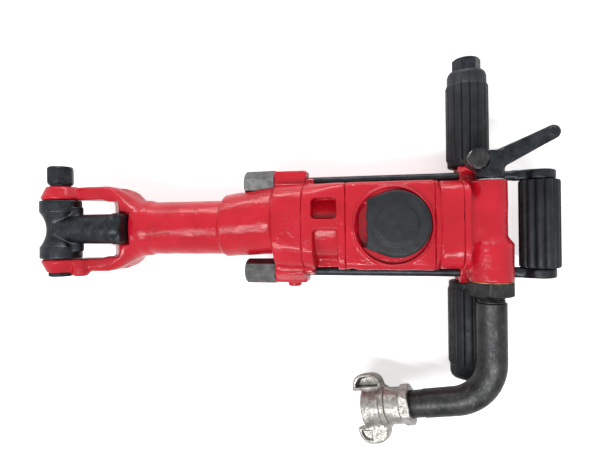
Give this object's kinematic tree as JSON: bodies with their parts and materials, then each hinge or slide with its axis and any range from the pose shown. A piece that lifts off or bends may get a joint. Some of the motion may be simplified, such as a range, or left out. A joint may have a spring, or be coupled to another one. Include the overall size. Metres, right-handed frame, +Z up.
{
  "type": "pneumatic rock drill",
  "caption": "Hand-held pneumatic rock drill with a forked steel retainer, T and D handles, a throttle lever and a swivelling gooseneck air inlet.",
  "frame": {"origin": "on the flat underside of the cylinder, straight below the middle of the exhaust port", "axes": "+X along the drill to the D-handle, +Y along the T-handle to its bolt head, +Z up, out of the exhaust port"},
  "size_m": [0.5354, 0.3932, 0.0975],
  "materials": {
    "red_paint": "glossy enamel over a slightly lumpy casting",
    "black_rubber": "matt moulded rubber",
    "black_oxide": "black oxide, lightly oiled",
    "black_lever": "black finish, forged",
    "grey_nut": "dark grey phosphate",
    "pipe_steel": "dark grey pipe steel, scuffed",
    "zinc_plate": "bright zinc plating over a cast iron body",
    "brass": "plain machined",
    "hard_steel": "ground steel",
    "spring_steel": "hardened steel"
  },
  "bodies": {
    "casing": {"front_head": "red_paint", "guide_housing": "red_paint", "cylinder": "red_paint", "exhaust_deflector": "black_rubber", "rear_housing": "red_paint", "backhead": "red_paint", "detent_spring": "spring_steel", "detent_plug": "black_oxide", "lube_plug": "red_paint", "retainer_bolt": "black_oxide", "retainer_bolt_nut": "black_oxide", "side_rod_upper": "black_oxide", "rod_nut_upper": "grey_nut", "side_rod_lower": "black_oxide", "rod_nut_lower": "grey_nut", "d_handle_bolt": "black_oxide", "d_handle_tube": "black_oxide", "d_handle_grip": "black_rubber", "t_grip_upper": "black_rubber", "t_grip_tube_upper": "black_oxide", "t_grip_lower": "black_rubber", "t_grip_tube_lower": "black_oxide", "t_handle_bolt": "black_oxide", "t_handle_nut": "black_oxide", "inlet_gasket": "brass", "inlet_bushing": "grey_nut", "inlet_strainer": "brass", "chuck_bushing": "brass", "stem_bushing": "brass", "ratchet_ring": "hard_steel", "valve_chest_front": "hard_steel", "valve_chest_rear": "hard_steel"},
    "retainer": {"steel_retainer": "black_oxide"},
    "throttle": {"throttle_valve": "hard_steel", "lever_washer": "hard_steel", "throttle_lever": "black_lever", "pinch_bolt": "black_oxide", "pinch_washer": "hard_steel"},
    "inlet_swivel": {"gooseneck": "pipe_steel", "claw_coupling": "zinc_plate", "coupling_seal": "black_rubber"},
    "chuck": {"chuck": "hard_steel", "chuck_driver": "hard_steel"},
    "piston": {"piston": "hard_steel", "rifle_nut": "brass"},
    "rifle_bar": {"rifle_bar": "hard_steel", "pawl_1": "spring_steel", "pawl_2": "spring_steel", "pawl_3": "spring_steel", "pawl_4": "spring_steel"},
    "ring_valve": {"ring_valve": "spring_steel"},
    "detent": {"detent_plunger": "hard_steel"}
  },
  "joints": [
    {"name": "retainer_pivot", "type": "hinge", "parent": "casing", "child": "retainer", "pos_m": [-0.3585, 0, 0.076], "axis": [0, 1, 0], "range_deg": [-180, 0]},
    {"name": "throttle_turn", "type": "hinge", "parent": "casing", "child": "throttle", "pos_m": [0.0886, 0, 0.068], "axis": [0, 1, 0], "range_deg": [0, 60]},
    {"name": "gooseneck_swivel", "type": "hinge", "parent": "casing", "child": "inlet_swivel", "pos_m": [0.0886, 0, 0.068], "axis": [0, 1, 0], "range_deg": [-5, 180]},
    {"name": "chuck_turn", "type": "hinge", "parent": "casing", "child": "chuck", "pos_m": [-0.2, 0, 0.046], "axis": [1, 0, 0], "continuous": true},
    {"name": "piston_slide", "type": "slide", "parent": "chuck", "child": "piston", "axis": [-1, 0, 0], "range_m": [0, 0.036]},
    {"name": "rifle_bar_turn", "type": "hinge", "parent": "chuck", "child": "rifle_bar", "pos_m": [0.04, 0, 0.046], "axis": [1, 0, 0], "range_deg": [-1, 35]},
    {"name": "valve_slide", "type": "slide", "parent": "casing", "child": "ring_valve", "axis": [1, 0, 0], "range_m": [0, 0.0026]},
    {"name": "detent_slide", "type": "slide", "parent": "casing", "child": "detent", "axis": [0, 0, -1], "range_m": [0, 0.0015], "stiffness_N_per_m": 1200, "springref_m": -0.002, "deforming": ["detent_spring"]}
  ],
  "couplings": [
    {"joint": "rifle_bar_turn", "follows": "piston_slide", "rad_per_m": 15.708}
  ]
}
